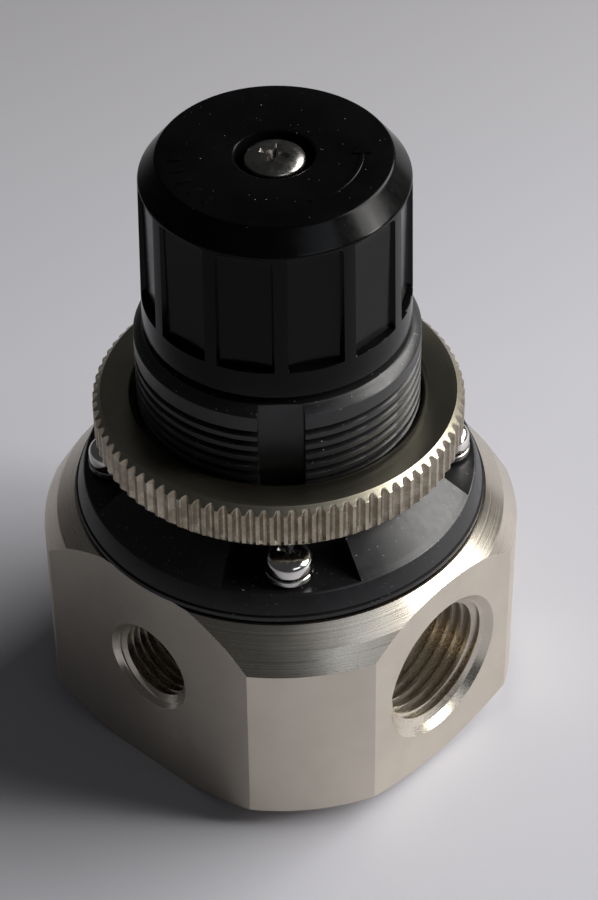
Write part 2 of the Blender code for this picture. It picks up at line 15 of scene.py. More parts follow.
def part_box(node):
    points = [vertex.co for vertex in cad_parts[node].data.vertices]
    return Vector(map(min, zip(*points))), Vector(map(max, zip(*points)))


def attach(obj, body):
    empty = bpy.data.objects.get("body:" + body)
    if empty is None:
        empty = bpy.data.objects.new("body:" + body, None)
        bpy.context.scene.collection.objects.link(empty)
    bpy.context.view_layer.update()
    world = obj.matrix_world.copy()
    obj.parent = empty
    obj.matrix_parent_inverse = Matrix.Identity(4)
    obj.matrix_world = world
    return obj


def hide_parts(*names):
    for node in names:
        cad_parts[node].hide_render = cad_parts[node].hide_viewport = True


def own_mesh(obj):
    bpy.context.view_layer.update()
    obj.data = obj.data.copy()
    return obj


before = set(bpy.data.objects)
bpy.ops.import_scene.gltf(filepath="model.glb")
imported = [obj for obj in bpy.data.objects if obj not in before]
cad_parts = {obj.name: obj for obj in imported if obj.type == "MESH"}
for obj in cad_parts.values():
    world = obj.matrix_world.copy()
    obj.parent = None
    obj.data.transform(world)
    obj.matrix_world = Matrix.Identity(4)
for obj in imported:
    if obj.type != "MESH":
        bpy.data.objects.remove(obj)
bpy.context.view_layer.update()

MM = 0.001


# ---------------------------------------------------------------- sizes from the frame

def low(node):
    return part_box(node)[0] / MM


def high(node):
    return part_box(node)[1] / MM


MAIN_FACE_X = high("body").x
GAUGE_FACE_Y = high("body").y
BODY_TOP = high("body").z
SKIRT_Z = low("bonnet").z
FLANGE_R = high("bonnet").x
COLLAR_TOP = high("bonnet").z
NUT_Z = low("panel_nut").z
NUT_TOP = high("panel_nut").z
KNOB_Z = low("knob").z
KNOB_TOP = high("knob").z
KNOB_R = high("knob").x
SCREW_CENTRES = [
    (low(f"bonnet_screw_{n}") + high(f"bonnet_screw_{n}")) / 2 for n in range(1, 5)
]
SCREW_ANGLES = [math.degrees(math.atan2(c.y, c.x)) for c in SCREW_CENTRES]

SCREW_HOLE_R = 2.3


# ---------------------------------------------------------------- mesh helpers

def ring(angles, radius, height):
    """One loop of points. Radius and height may each be a number or one value per angle."""
    radius = np.broadcast_to(radius, angles.shape)
    height = np.broadcast_to(height, angles.shape)
    return np.stack([radius * np.cos(angles), radius * np.sin(angles), height], -1) * MM


def object_from(name, verts, faces, smooth_angle=40.0):
    mesh = bpy.data.meshes.new(name)
    mesh.from_pydata([tuple(v) for v in verts], [], faces)
    mesh.update()
    obj = bpy.data.objects.new(name, mesh)
    bpy.context.scene.collection.objects.link(obj)
    face_out(obj)
    shade(obj, smooth_angle)
    return obj


def face_out(obj):
    bm = bmesh.new()
    bm.from_mesh(obj.data)
    bmesh.ops.recalc_face_normals(bm, faces=bm.faces)
    bm.to_mesh(obj.data)
    bm.free()


def shade(obj, smooth_angle):
    obj.data.shade_smooth()
    obj.data.set_sharp_from_angle(angle=math.radians(smooth_angle))


def loft(name, rings, closed_section=True, smooth_angle=40.0):
    """Skins a list of rings. A closed section joins the last ring to the first; an open one is capped."""
    count = len(rings[0])
    columns = np.arange(count)
    following = (columns + 1) % count
    faces = []
    for row in range(len(rings) if closed_section else len(rings) - 1):
        here = row * count
        there = (row + 1) % len(rings) * count
        strip = np.stack([here + columns, here + following, there + following, there + columns], -1)
        faces += strip.tolist()
    if not closed_section:
        faces.append(list(columns))
        faces.append(list(reversed((len(rings) - 1) * count + columns)))
    return object_from(name, np.concatenate(rings), faces, smooth_angle)


def uniform_angles(count, first=0.0):
    return np.radians(first) + np.arange(count) * 2 * math.pi / count


def turned(name, section, segments=192, smooth_angle=40.0):
    """Turns (radius, height) points. A section that starts on the axis is capped there."""
    angles = uniform_angles(segments)
    on_axis = section[0][0] == 0
    points = section[1:-1] if on_axis else section
    return loft(name, [ring(angles, r, z) for r, z in points], not on_axis, smooth_angle)


def rounded(section, radius, steps=3):
    """Rounds each corner of a section by up to the given radius."""
    made = []
    for index, here in enumerate(section):
        here = Vector(here)
        before = Vector(section[index - 1])
        after = Vector(section[(index + 1) % len(section)])
        back = before - here
        ahead = after - here
        if back.length < 1e-6 or ahead.length < 1e-6 or here.x == 0:
            made.append(tuple(here))
            continue
        reach = min(radius, back.length * 0.4, ahead.length * 0.4)
        start = here + back.normalized() * reach
        end = here + ahead.normalized() * reach
        for step in range(steps + 1):
            t = step / steps
            point = start * (1 - t) ** 2 + here * 2 * t * (1 - t) + end * t ** 2
            made.append(tuple(point))
    return made


def prism(name, outline, z_low, z_high):
    count = len(outline)
    verts = [(x * MM, y * MM, z * MM) for z in (z_low, z_high) for x, y in outline]
    faces = [list(range(count))[::-1], list(range(count, 2 * count))]
    for index in range(count):
        after = (index + 1) % count
        faces.append([index, after, count + after, count + index])
    return object_from(name, verts, faces)


def boolean(obj, cutter, operation="DIFFERENCE"):
    """Runs a Boolean at once and removes the cutter."""
    modifier = obj.modifiers.new("boolean", "BOOLEAN")
    modifier.operation = operation
    modifier.object = cutter
    bake(obj)
    bpy.data.objects.remove(cutter)


def bake(obj):
    """Applies every modifier."""
    graph = bpy.context.evaluated_depsgraph_get()
    made = bpy.data.meshes.new_from_object(obj.evaluated_get(graph))
    old = obj.data
    obj.modifiers.clear()
    obj.data = made
    bpy.data.meshes.remove(old)


def bevel(obj, width, segments=2, angle=35.0):
    modifier = obj.modifiers.new("bevel", "BEVEL")
    modifier.width = width * MM
    modifier.segments = segments
    modifier.limit_method = "ANGLE"
    modifier.angle_limit = math.radians(angle)
    modifier.use_clamp_overlap = True
    bake(obj)


def lay_down(obj, face_angle, height):
    """Turns a piece made along +Z so that it points out along one side face's normal."""
    turn = Matrix.Rotation(math.radians(face_angle), 4, "Z") @ Matrix.Rotation(math.pi / 2, 4, "Y")
    obj.data.transform(Matrix.Translation((0, 0, height * MM)) @ turn)
    return obj


def swept(name, rows):
    """Skins the places of one section along a path, in metres, and closes both ends."""
    count = len(rows[0])
    last = (len(rows) - 1) * count
    faces = []
    for here in range(0, last, count):
        there = here + count
        for side in range(count):
            after = (side + 1) % count
            faces.append([here + side, here + after, there + after, there + side])
    faces.append(list(range(count)))
    faces.append(list(range(last, last + count))[::-1])
    return object_from(name, [point for row in rows for point in row], faces)


def helix(name, section, pitch, z_start, z_end, steps_per_turn=72):
    """Sweeps a (radius, height) section along a right-handed helix about Z."""
    turns = (z_end - z_start) / pitch
    steps = int(turns * steps_per_turn)
    radii = np.array([r for r, _ in section])
    heights = np.array([z for _, z in section])
    rows = []
    for step in range(steps + 1):
        angle = 2 * math.pi * step / steps_per_turn
        z = z_start + pitch * step / steps_per_turn + heights
        rows.append(np.stack([radii * math.cos(angle), radii * math.sin(angle), z], -1) * MM)
    return swept(name, rows)


def drill_screw_holes(obj, z_low, z_high):
    for centre in SCREW_CENTRES:
        section = [(0, z_low), (SCREW_HOLE_R, z_low), (SCREW_HOLE_R, z_high), (0, z_high)]
        hole = turned("hole", section, 32)
        hole.data.transform(Matrix.Translation((centre.x * MM, centre.y * MM, 0)))
        boolean(obj, hole)


def install(obj, body, slot, material, *nodes):
    obj.data.materials.clear()
    obj.data.materials.append(material)
    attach(obj, body)
    if nodes:
        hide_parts(*nodes)
    return obj


# ---------------------------------------------------------------- materials

class Nodes:
    """A short way to write a procedural material."""

    def __init__(self, name):
        self.material = bpy.data.materials.new(name)
        self.material.use_nodes = True
        self.tree = self.material.node_tree
        self.shader = self.tree.nodes["Principled BSDF"]
        self.place = self.add("ShaderNodeTexCoord").outputs["Object"]

    def add(self, kind, **settings):
        node = self.tree.nodes.new(kind)
        for key, value in settings.items():
            setattr(node, key, value)
        return node

    def link(self, source, target):
        if isinstance(source, (int, float)):
            target.default_value = source
        elif isinstance(source, tuple):
            target.default_value = (*source, 1.0)[: len(target.default_value)]
        else:
            self.tree.links.new(source, target)

    def math(self, operation, *values, clamp=False):
        node = self.add("ShaderNodeMath", operation=operation, use_clamp=clamp)
        for value, socket in zip(values, node.inputs):
            self.link(value, socket)
        return node.outputs[0]

    def noise(self, vector, scale, detail=2.0, roughness=0.5):
        node = self.add("ShaderNodeTexNoise")
        self.link(vector, node.inputs["Vector"])
        node.inputs["Scale"].default_value = scale
        node.inputs["Detail"].default_value = detail
        node.inputs["Roughness"].default_value = roughness
        return node.outputs["Fac"]

    def stretched(self, scale):
        node = self.add("ShaderNodeMapping")
        self.link(self.place, node.inputs["Vector"])
        node.inputs["Scale"].default_value = scale
        return node.outputs["Vector"]

    def split(self, vector):
        node = self.add("ShaderNodeSeparateXYZ")
        self.link(vector, node.inputs[0])
        return node.outputs

    def joined(self, x, y, z):
        node = self.add("ShaderNodeCombineXYZ")
        for value, socket in zip((x, y, z), node.inputs):
            self.link(value, socket)
        return node.outputs[0]

    def fit(self, value, low_in, high_in, low_out=0.0, high_out=1.0):
        node = self.add("ShaderNodeMapRange")
        for socket, item in zip(node.inputs, (value, low_in, high_in, low_out, high_out)):
            self.link(item, socket)
        return node.outputs[0]

    def mix(self, share, first, second):
        node = self.add("ShaderNodeMix", data_type="RGBA")
        self.link(share, node.inputs["Factor"])
        self.link(first, node.inputs[6])
        self.link(second, node.inputs[7])
        return node.outputs[2]

    def blend(self, share, first, second):
        node = self.add("ShaderNodeMix", data_type="FLOAT")
        self.link(share, node.inputs["Factor"])
        self.link(first, node.inputs[2])
        self.link(second, node.inputs[3])
        return node.outputs[0]

    def turned_place(self):
        """Coordinates in which anything round the Z axis is one line: radius and height only."""
        x, y, z = self.split(self.place)
        squares = self.math("ADD", self.math("MULTIPLY", x, x), self.math("MULTIPLY", y, y))
        return self.joined(self.math("SQRT", squares), z, 0.0)

    def radial_sheen(self, share, amount):
        """Draws highlights out from the Z axis, as turning marks do."""
        tangent = self.add("ShaderNodeTangent", direction_type="RADIAL", axis="Z")
        self.link(tangent.outputs[0], self.shader.inputs["Tangent"])
        self.link(self.math("MULTIPLY", share, amount), self.shader.inputs["Anisotropic"])

    def up_facing(self, low_value=0.25, high_value=0.45):
        normal = self.add("ShaderNodeNewGeometry").outputs["Normal"]
        return self.fit(self.split(normal)[2], low_value, high_value)

    def specks(self, scale, amount):
        """Sparse dust: small bright dots where a fine noise peaks."""
        return self.fit(self.noise(self.place, scale, 1.0, 0.4), 1 - amount, 1 - amount + 0.03)

    def bump(self, height, depth_mm, strength):
        node = self.add("ShaderNodeBump")
        node.inputs["Strength"].default_value = strength
        node.inputs["Distance"].default_value = depth_mm * MM
        self.link(height, node.inputs["Height"])
        return node.outputs["Normal"]

    def finish(self, color, roughness, normal, **fixed):
        self.link(color, self.shader.inputs["Base Color"])
        self.link(roughness, self.shader.inputs["Roughness"])
        self.link(normal, self.shader.inputs["Normal"])
        for key, value in fixed.items():
            self.shader.inputs[key.replace("_", " ")].default_value = value
        return self.material


def stainless_material():
    """Milled flats with a fine matte grain, and turned lines on everything cut on the lathe."""
    n = Nodes("stainless_body")
    turned_share = n.up_facing(0.08, 0.16)
    rings = n.noise(n.turned_place(), 5200.0, 3.0, 0.6)
    grain = n.noise(n.stretched((2200.0, 2200.0, 1100.0)), 1.0, 3.0, 0.6)
    fine = n.blend(turned_share, grain, rings)
    cloud = n.noise(n.place, 95.0, 4.0, 0.55)
    smear = n.noise(n.stretched((60.0, 60.0, 22.0)), 1.0, 3.0, 0.6)
    steel = n.mix(n.fit(cloud, 0.3, 0.7), (0.56, 0.508, 0.435), (0.64, 0.585, 0.505))
    color = n.mix(n.fit(fine, 0.35, 0.65, 0.0, 0.22), steel, (0.72, 0.67, 0.59))
    milled_rough = n.fit(fine, 0.3, 0.7, 0.38, 0.52)
    turned_rough = n.fit(fine, 0.3, 0.7, 0.20, 0.32)
    rough = n.blend(turned_share, milled_rough, turned_rough)
    rough = n.math("ADD", rough, n.fit(smear, 0.35, 0.7, -0.04, 0.05))
    n.radial_sheen(turned_share, 0.35)
    return n.finish(color, rough, n.bump(fine, 0.006, 0.4), Metallic=1.0)


def nut_material():
    """Warm steel: a turned face with a radial sheen, and darker rolled teeth. The turned face's own olive
    tint is darkened further as painted shade.
    """
    n = Nodes("nut_steel")
    rings = n.noise(n.turned_place(), 4200.0, 3.0, 0.6)
    face = n.up_facing(0.45, 0.75)
    teeth = n.math("SUBTRACT", 1.0, face)
    cloud = n.noise(n.place, 120.0, 4.0, 0.6)
    stain = n.noise(n.place, 420.0, 4.0, 0.7)
    # Painted shade: the up-facing turned face gets an olive steel colour darkened below its own tone, while
    # the teeth keep their stain colours.
    face_color_with_painted_shade = n.mix(n.fit(cloud, 0.3, 0.7), (0.33, 0.305, 0.235), (0.41, 0.38, 0.30))
    tooth_color = n.mix(n.fit(stain, 0.4, 0.62), (0.44, 0.39, 0.31), (0.29, 0.25, 0.19))
    face_rough = n.fit(rings, 0.3, 0.7, 0.28, 0.40)
    tooth_rough = n.fit(stain, 0.35, 0.65, 0.22, 0.40)
    rough = n.blend(teeth, face_rough, tooth_rough)
    n.radial_sheen(face, 0.6)
    normal = n.bump(rings, 0.008, 0.5)
    return n.finish(n.mix(teeth, face_color_with_painted_shade, tooth_color), rough, normal, Metallic=1.0)


def screw_material(name, tint, low_rough, high_rough):
    """Plated steel with cloudy wear."""
    n = Nodes(name)
    wear = n.noise(n.place, 900.0, 3.0, 0.6)
    cloud = n.noise(n.place, 260.0, 3.0, 0.5)
    dark = tuple(value * 0.72 for value in tint)
    color = n.mix(n.fit(cloud, 0.35, 0.7), tint, dark)
    rough = n.fit(wear, 0.35, 0.7, low_rough, high_rough)
    return n.finish(color, rough, n.bump(wear, 0.01, 0.4), Metallic=1.0)


def plastic_material(name, dark, light, rough_low, rough_high, shine, dust_amount):
    """Black moulding with a faint orange peel, handling haze and a little settled dust."""
    n = Nodes(name)
    peel = n.noise(n.place, 1400.0, 2.0, 0.5)
    haze = n.noise(n.place, 160.0, 4.0, 0.6)
    streak = n.noise(n.stretched((900.0, 900.0, 90.0)), 1.0, 3.0, 0.6)
    dust = n.math("MULTIPLY", n.specks(2600.0, dust_amount), n.up_facing(0.2, 0.7))
    color = n.mix(n.fit(haze, 0.3, 0.75), dark, light)
    color = n.mix(dust, color, (0.32, 0.32, 0.33))
    rough = n.fit(n.math("ADD", haze, streak), 0.7, 1.3, rough_low, rough_high)
    rough = n.math("ADD", rough, n.math("MULTIPLY", dust, 0.4), clamp=True)
    normal = n.bump(n.math("ADD", peel, dust), 0.010, 0.3)
    return n.finish(color, rough, normal, Metallic=0.0, IOR=1.5, Specular_IOR_Level=shine)


def rubber_material():
    n = Nodes("seal_rubber")
    grain = n.noise(n.place, 2400.0, 3.0, 0.6)
    cloud = n.noise(n.place, 300.0, 3.0, 0.5)
    color = n.mix(n.fit(cloud, 0.3, 0.7), (0.014, 0.014, 0.015), (0.035, 0.034, 0.033))
    return n.finish(color, n.fit(grain, 0.3, 0.7, 0.55, 0.8), n.bump(grain, 0.02, 0.5))


def turned_metal(name, first, second, low_rough, high_rough):
    n = Nodes(name)
    lines = n.noise(n.turned_place(), 4800.0, 3.0, 0.6)
    cloud = n.noise(n.place, 240.0, 3.0, 0.5)
    color = n.mix(n.fit(cloud, 0.3, 0.7), first, second)
    rough = n.fit(lines, 0.3, 0.7, low_rough, high_rough)
    return n.finish(color, rough, n.bump(lines, 0.01, 0.5), Metallic=1.0)


def nylon_material():
    n = Nodes("washer_nylon")
    grain = n.noise(n.place, 1500.0, 2.0, 0.5)
    color = n.mix(n.fit(grain, 0.3, 0.7), (0.68, 0.66, 0.6), (0.76, 0.74, 0.68))
    return n.finish(color, n.fit(grain, 0.3, 0.7, 0.42, 0.55), n.bump(grain, 0.01, 0.3))


# ---------------------------------------------------------------- body

BODY_BASE_R = 29.5
BODY_CORNER_R = 34.6
BODY_CORNER_Z = 3.4
BODY_CORNER_TOP = 30.8
BODY_BAND_R = 32.6
BODY_BAND_TOP = 33.6
BODY_SHOULDER_R = 29.9
BODY_SHOULDER_Z = 36.4
SPIGOT_R = 27.9
FLANGE_Z = BODY_TOP + 0.3
PLUG_BORE_R = 11.0
PLUG_BORE_MOUTH_R = 11.6
PLUG_BORE_TOP = 11.7
VALVE_CHAMBER_R = 9.0
SEAT_POCKET_R = 6.8
SEAT_POCKET_Z = 20.0
SEAT_POCKET_TOP = 22.4
OUTLET_CHAMBER_R = 13.5
DIAPHRAGM_CHAMBER_R = 17.5
DIAPHRAGM_CHAMBER_Z = 32.4
DIAPHRAGM_SEAT_R = 20.5
DIAPHRAGM_SEAT_Z = 36.1
SCREW_HOLE_Z = 27.4
MAIN_PORT = {
    "face": MAIN_FACE_X, "z": 18.7, "minor": 9.315, "major": 10.48,
    "mouth": 11.6, "depth": 13.0, "pitch": 1.814,
}
GAUGE_PORT = {
    "face": GAUGE_FACE_Y, "z": 19.9, "minor": 5.72, "major": 6.58,
    "mouth": 7.3, "depth": 10.0, "pitch": 1.337,
}
PORTS = ((MAIN_PORT, 0), (MAIN_PORT, 180), (GAUGE_PORT, -90), (GAUGE_PORT, 90))
SUPPLY_DUCT = {"radius": 3.0, "inner": 7.0, "outer": 18.0, "z": 15.7}
OUTLET_DUCT = {"radius": 2.2, "inner": 11.5, "outer": 18.0, "z": 24.7}
GAUGE_DUCT = {"radius": 1.2, "inner": 11.5, "outer": 21.0, "z": 23.8}
DUCTS = ((SUPPLY_DUCT, 0), (OUTLET_DUCT, 180), (GAUGE_DUCT, -90), (GAUGE_DUCT, 90))


def edge_break_width(z):
    """How wide the break on a flat's edge is at a height."""
    if z < BODY_CORNER_Z + 0.1:
        return 0.2
    if z < BODY_CORNER_TOP:
        return 0.14
    if z < BODY_BAND_TOP:
        return 0.75
    return 0.5 - 0.35 * (z - BODY_BAND_TOP) / (BODY_SHOULDER_Z - BODY_BAND_TOP)


def break_flat_edges(obj):
    """Breaks the edges that the four flats make, all but the lowest, which are left sharp."""
    bm = bmesh.new()
    bm.from_mesh(obj.data)
    weights = bm.edges.layers.float.new("bevel_weight_edge")

    def on_flat(face):
        centre = face.calc_center_median()
        return abs(centre.x) > MAIN_FACE_X * MM - 1e-6 or abs(centre.y) > GAUGE_FACE_Y * MM - 1e-6

    for edge in bm.edges:
        if len(edge.link_faces) != 2 or on_flat(edge.link_faces[0]) == on_flat(edge.link_faces[1]):
            continue
        z = (edge.verts[0].co.z + edge.verts[1].co.z) / 2 / MM
        if z >= 0.6:
            edge[weights] = edge_break_width(z)
    bm.to_mesh(obj.data)
    bm.free()
    modifier = obj.modifiers.new("bevel", "BEVEL")
    modifier.width = MM
    modifier.segments = 1
    modifier.limit_method = "WEIGHT"
    modifier.use_clamp_overlap = True
    bake(obj)


def port_cutter(port):
    face = port["face"]
    lead = port["mouth"] - port["major"]
    section = [
        (0, face - port["depth"]),
        (port["minor"], face - port["depth"]),
        (port["minor"], face - lead - 0.6),
        (port["major"] + 0.1, face - lead * 0.85),
        (port["mouth"], face),
        (port["mouth"] + 0.12, face + 0.05),
        (port["mouth"] + 1, face + 1),
        (0, face + 1),
    ]
    return turned("port_cutter", section, 96)


def thread_cutter(port):
    """A V section swept from outside the mouth to near the bottom of the port."""
    tip = port["pitch"] * 0.12
    slope = math.tan(math.radians(27.5))
    inner = port["minor"] - 0.15
    outer = port["major"]
    base = min(tip + (outer - inner) * slope * 2, port["pitch"] * 0.92)
    section = [(inner, -base / 2), (outer, -tip / 2), (outer, tip / 2), (inner, base / 2)]
    start = port["face"] - port["depth"] + port["pitch"]
    return helix("thread_cutter", section, port["pitch"], start, port["face"] + port["pitch"])


def make_body(material):
    outside = [
        (0, 0),
        (BODY_BASE_R, 0),
        (BODY_CORNER_R, BODY_CORNER_Z),
        (BODY_CORNER_R, BODY_CORNER_TOP),
        (BODY_BAND_R, BODY_BAND_TOP),
        (BODY_SHOULDER_R, BODY_SHOULDER_Z),
        (SPIGOT_R, BODY_SHOULDER_Z),
        (SPIGOT_R, BODY_TOP),
        (0, BODY_TOP),
    ]
    body = turned("regulator_body", outside, 288)
    corners = [(x * MAIN_FACE_X, y * GAUGE_FACE_Y) for x, y in ((-1, -1), (1, -1), (1, 1), (-1, 1))]
    boolean(body, prism("flats", corners, -1, BODY_TOP + 1), "INTERSECT")
    break_flat_edges(body)
    cavity = [
        (0, -1),
        (PLUG_BORE_MOUTH_R, -1),
        (PLUG_BORE_MOUTH_R, 0),
        (PLUG_BORE_R, PLUG_BORE_MOUTH_R - PLUG_BORE_R),
        (PLUG_BORE_R, PLUG_BORE_TOP),
        (VALVE_CHAMBER_R, PLUG_BORE_TOP),
        (VALVE_CHAMBER_R, SEAT_POCKET_Z),
        (SEAT_POCKET_R, SEAT_POCKET_Z),
        (SEAT_POCKET_R, SEAT_POCKET_TOP),
        (OUTLET_CHAMBER_R, SEAT_POCKET_TOP),
        (OUTLET_CHAMBER_R, DIAPHRAGM_CHAMBER_Z),
        (DIAPHRAGM_CHAMBER_R, DIAPHRAGM_CHAMBER_Z),
        (DIAPHRAGM_CHAMBER_R, DIAPHRAGM_SEAT_Z),
        (DIAPHRAGM_SEAT_R, DIAPHRAGM_SEAT_Z),
        (DIAPHRAGM_SEAT_R, BODY_TOP + 1),
        (0, BODY_TOP + 1),
    ]
    boolean(body, turned("cavity", cavity, 96))
    for port, face_angle in PORTS:
        boolean(body, lay_down(port_cutter(port), face_angle, port["z"]))
    for port, face_angle in PORTS:
        boolean(body, lay_down(thread_cutter(port), face_angle, port["z"]))
    for duct, face_angle in DUCTS:
        radius = duct["radius"]
        section = [(0, duct["inner"]), (radius, duct["inner"]), (radius, duct["outer"]), (0, duct["outer"])]
        boolean(body, lay_down(turned("duct", section, 32), face_angle, duct["z"]))
    drill_screw_holes(body, SCREW_HOLE_Z, BODY_TOP + 1)
    shade(body, 8.0)
    return install(body, "housing", "stainless", material, "body")


# ---------------------------------------------------------------- bonnet

POCKET_HALF_ANGLE = 20.5
POCKET_FLOOR = 40.7
FLANGE_RIM_R = 28.2
FLANGE_RIM_TOP = 40.75
CONE_TOP_R = 21.8
CONE_TOP_Z = 45.15
THREAD_PITCH = 1.8
THREAD_DEPTH = 1.05
THREAD_Z = 47.4
THREAD_TOP = 63.6
NECK_R = 20.1
NECK_TOP = 66.9
GROOVE_ANGLES = (-46.7, 133.3)
GROOVE_HALF_ANGLE = 9.3
GROOVE_FLOOR_R = 18.6
COLLAR_R = 14.6
COLLAR_BORE_R = 9.0
JOURNAL_BORE_R = 4.8
JOURNAL_BORE_TOP = 69.4
SPRING_CHAMBER_R = 14.5
SPRING_CHAMBER_Z = 43.4
SPRING_CHAMBER_TOP = 64.3
PLATE_RECESS_R = 17.0
PLATE_RECESS_TOP = 41.4
SKIRT_R = 28.2


def angle_from(angles, centre_degrees):
    """How far each angle is from a centre, in degrees, from -180 to 180."""
    return (np.degrees(angles) - centre_degrees + 180) % 360 - 180


def bonnet_angles():
    edges = [s + side * POCKET_HALF_ANGLE for s in SCREW_ANGLES for side in (-1, 1)]
    edges += [g + side * GROOVE_HALF_ANGLE for g in GROOVE_ANGLES for side in (-1, 1)]
    extra = [edge + shift for edge in edges for shift in (-0.16, -0.05, 0.05, 0.16)]
    base = np.arange(0, 360, 1.0)
    extra = np.array(extra) % 360
    clear = [a for a in base if np.abs((a - extra + 180) % 360 - 180).min() > 0.3]
    return np.radians(np.sort(np.concatenate([clear, extra])))


def neck_radius(angles, z):
    """The panel thread, its plain land above, and the two axial grooves."""
    turn = angles / (2 * math.pi)
    phase = (z / THREAD_PITCH - turn) % 1.0
    off_crest = np.abs(phase - 0.5) * 2
    height = np.clip((1 - off_crest) * 1.7, 0, 1)
    height = height * height * (3 - 2 * height)
    low_end = np.clip((THREAD_Z + 0.5 - z) / 0.5, 0, 1)
    land = np.clip((z - THREAD_TOP + 0.25) / 0.25, 0, 1)
    radius = NECK_R - THREAD_DEPTH * (1 - height)
    radius = radius + (NECK_R - radius) * land
    radius = radius + (NECK_R - THREAD_DEPTH - radius) * low_end
    return groove_cut(angles, radius)


def groove_cut(angles, radius):
    radius = np.broadcast_to(radius, angles.shape).copy()
    for centre in GROOVE_ANGLES:
        off = angle_from(angles, centre)
        floor = GROOVE_FLOOR_R / np.cos(np.radians(np.clip(off, -60, 60)))
        inside = np.abs(off) < GROOVE_HALF_ANGLE
        radius = np.where(inside, np.minimum(radius, floor), radius)
    return radius


def make_bonnet(material):
    angles = bonnet_angles()
    in_pocket = np.zeros(angles.shape, bool)
    for centre in SCREW_ANGLES:
        in_pocket |= np.abs(angle_from(angles, centre)) < POCKET_HALF_ANGLE
    rows = []

    def plain(*points):
        for radius, height in points:
            rows.append(ring(angles, radius, height))

    # The underside and the skirt, with a fine groove under the flange.
    plain((PLATE_RECESS_R, FLANGE_Z), (SKIRT_R, FLANGE_Z), (SKIRT_R, SKIRT_Z))
    plain((FLANGE_R - 0.2, SKIRT_Z), (FLANGE_R, SKIRT_Z + 0.15), (FLANGE_R - 0.02, SKIRT_Z + 0.75))
    plain((29.2, SKIRT_Z + 0.82), (29.15, SKIRT_Z + 1.02), (29.32, SKIRT_Z + 1.1))
    plain((28.4, FLANGE_RIM_TOP - 0.32), (28.27, FLANGE_RIM_TOP - 0.12), (28.1, FLANGE_RIM_TOP - 0.02))
    # The cone, cut down to the pockets' floor round the screws.
    slope = (CONE_TOP_Z - FLANGE_RIM_TOP) / (FLANGE_RIM_R - CONE_TOP_R)
    for radius in np.linspace(27.8, CONE_TOP_R, 14):
        cone = FLANGE_RIM_TOP + (FLANGE_RIM_R - radius) * slope
        rows.append(ring(angles, radius, np.where(in_pocket, POCKET_FLOOR, cone)))
    rows.append(ring(angles, 20.4, np.where(in_pocket, POCKET_FLOOR, CONE_TOP_Z)))
    # The neck, its rounded top edge and the collar.
    plain((20.3, CONE_TOP_Z), (NECK_R - THREAD_DEPTH, CONE_TOP_Z))
    for z in np.arange(45.3, 65.5, 0.09):
        rows.append(ring(angles, neck_radius(angles, z), z))
    top_edge = (
        (NECK_R, 65.55), (19.95, 65.8), (19.1, 66.5),
        (18.9, 66.65), (18.75, 66.85), (GROOVE_FLOOR_R, NECK_TOP),
    )
    for radius, height in top_edge:
        rows.append(ring(angles, groove_cut(angles, radius), height))
    plain((COLLAR_R + 0.3, NECK_TOP), (COLLAR_R, NECK_TOP + 0.3), (COLLAR_R, COLLAR_TOP - 0.4))
    plain((COLLAR_R - 0.4, COLLAR_TOP), (COLLAR_BORE_R + 0.4, COLLAR_TOP))
    # The inside, from the collar's bore down to the plate recess.
    plain((COLLAR_BORE_R, COLLAR_TOP - 0.4), (COLLAR_BORE_R, JOURNAL_BORE_TOP))
    plain((JOURNAL_BORE_R, JOURNAL_BORE_TOP), (JOURNAL_BORE_R, SPRING_CHAMBER_TOP))
    plain((SPRING_CHAMBER_R, SPRING_CHAMBER_TOP), (SPRING_CHAMBER_R, SPRING_CHAMBER_Z))
    plain((PLATE_RECESS_R, PLATE_RECESS_TOP))
    bonnet = loft("bonnet_moulding", rows, True, 30.0)
    drill_screw_holes(bonnet, FLANGE_Z - 1, POCKET_FLOOR + 1)
    shade(bonnet, 30.0)
    return install(bonnet, "housing", "bonnet_plastic", material, "bonnet")


# ---------------------------------------------------------------- panel nut

NUT_TEETH = 86
NUT_TIP_R = 26.4
TOOTH_DEPTH = 0.72
TOOTH_CREST = 0.27
NUT_BORE_R = 20.4
NUT_CHAMFER = 1.1


def make_panel_nut(material):
    """A ring of teeth with both rims chamfered. The points along one tooth are shares of its pitch."""
    shares = np.array([-0.14, -0.13, 0.13, 0.14, 0.2, 0.28, 0.38, 0.5, 0.62, 0.72, 0.8])
    tooth = 2 * math.pi / NUT_TEETH
    angles = (np.arange(NUT_TEETH)[:, None] * tooth + shares[None, :] * tooth).ravel()
    share = np.tile(shares, NUT_TEETH)
    across = np.clip(1 - np.abs(share - 0.5) / (0.5 - TOOTH_CREST / 2), 0, 1)
    tooth_r = NUT_TIP_R - TOOTH_DEPTH * (1 - (1 - across) ** 2)
    thickness = NUT_TOP - NUT_Z
    lower = [0.0, 0.03] + list(np.arange(0.1, NUT_CHAMFER + 0.15, 0.1))
    upper = [thickness - height for height in reversed(lower)]
    rows = []
    for height in lower + [thickness / 2] + upper:
        edge = min(height, thickness - height)
        limit = NUT_TIP_R - NUT_CHAMFER + min(edge, NUT_CHAMFER)
        rows.append(ring(angles, np.minimum(tooth_r, limit), NUT_Z + height))
    bore = (
        (NUT_BORE_R + 0.9, NUT_TOP),
        (NUT_BORE_R + 0.78, NUT_TOP - 0.04),
        (NUT_BORE_R, NUT_TOP - 0.6),
        (NUT_BORE_R, NUT_Z + 0.6),
        (NUT_BORE_R + 0.8, NUT_Z),
    )
    for radius, height in bore:
        rows.append(ring(angles, radius, height))
    nut = loft("knurled_panel_nut", rows, True, 22.0)
    return install(nut, "panel_nut", "nut_steel", material, "panel_nut")


# ---------------------------------------------------------------- knob

